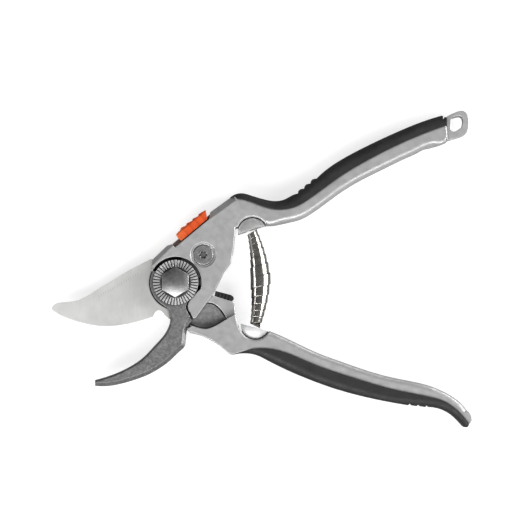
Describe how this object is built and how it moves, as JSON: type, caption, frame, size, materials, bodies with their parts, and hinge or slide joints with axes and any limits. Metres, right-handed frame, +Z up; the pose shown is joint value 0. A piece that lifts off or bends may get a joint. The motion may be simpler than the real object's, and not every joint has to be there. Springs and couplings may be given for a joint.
{
  "type": "pruning shears",
  "caption": "Bypass pruning shears with a curved cutting blade, a hooked counter-blade, two sprung aluminium handles with soft grips, and a thumb lock.",
  "frame": {"origin": "on the pivot axis, at the back of the pivot bolt's head, which is the plane the shears lie on", "axes": "+X from the pivot towards the handle ends, +Y towards the handle that carries the lock, +Z up through the pivot bolt to its nut"},
  "size_m": [0.2075, 0.1568, 0.0226],
  "materials": {
    "handle_aluminium": "satin cast and bead-blasted",
    "grip_rubber": "soft matt",
    "forged_steel": "mottled phosphated",
    "screw_steel": "satin",
    "bolt_steel": "satin",
    "zinc_steel": "bright zinc",
    "polished_steel": "polished",
    "spring_steel": "polished",
    "blade_steel": "ground satin",
    "bush_brass": "turned",
    "washer_plastic": "smooth",
    "bumper_rubber": "matt",
    "lock_plastic": "fine moulded"
  },
  "bodies": {
    "upper_lever": {"upper_handle": "handle_aluminium", "upper_grip": "grip_rubber", "counter_blade": "forged_steel", "counter_blade_screw": "screw_steel", "pivot_bolt": "bolt_steel", "serrated_washer": "zinc_steel", "pivot_nut": "polished_steel", "upper_spring_seat": "handle_aluminium", "return_spring": "spring_steel", "detent_ball": "polished_steel", "detent_spring": "spring_steel"},
    "lower_lever": {"lower_handle": "handle_aluminium", "lower_grip": "grip_rubber", "cutting_blade": "blade_steel", "pivot_bush": "bush_brass", "rear_washer": "bolt_steel", "sliding_washer": "washer_plastic", "bumper": "bumper_rubber", "lower_spring_seat": "handle_aluminium"},
    "lock": {"lock_slider": "lock_plastic", "lock_plate": "bolt_steel", "lock_rivet": "screw_steel"}
  },
  "joints": [
    {"name": "handle_hinge", "type": "hinge", "parent": "upper_lever", "child": "lower_lever", "pos_m": [0, 0, 0], "axis": [0, 0, 1], "range_deg": [0, 38], "stiffness_Nm_per_rad": 1, "springref_deg": -28.65, "deforming": ["return_spring"]},
    {"name": "lock_slide", "type": "slide", "parent": "upper_lever", "child": "lock", "axis": [-0.7672, -0.6414, 0], "range_m": [0, 0.0042]}
  ]
}
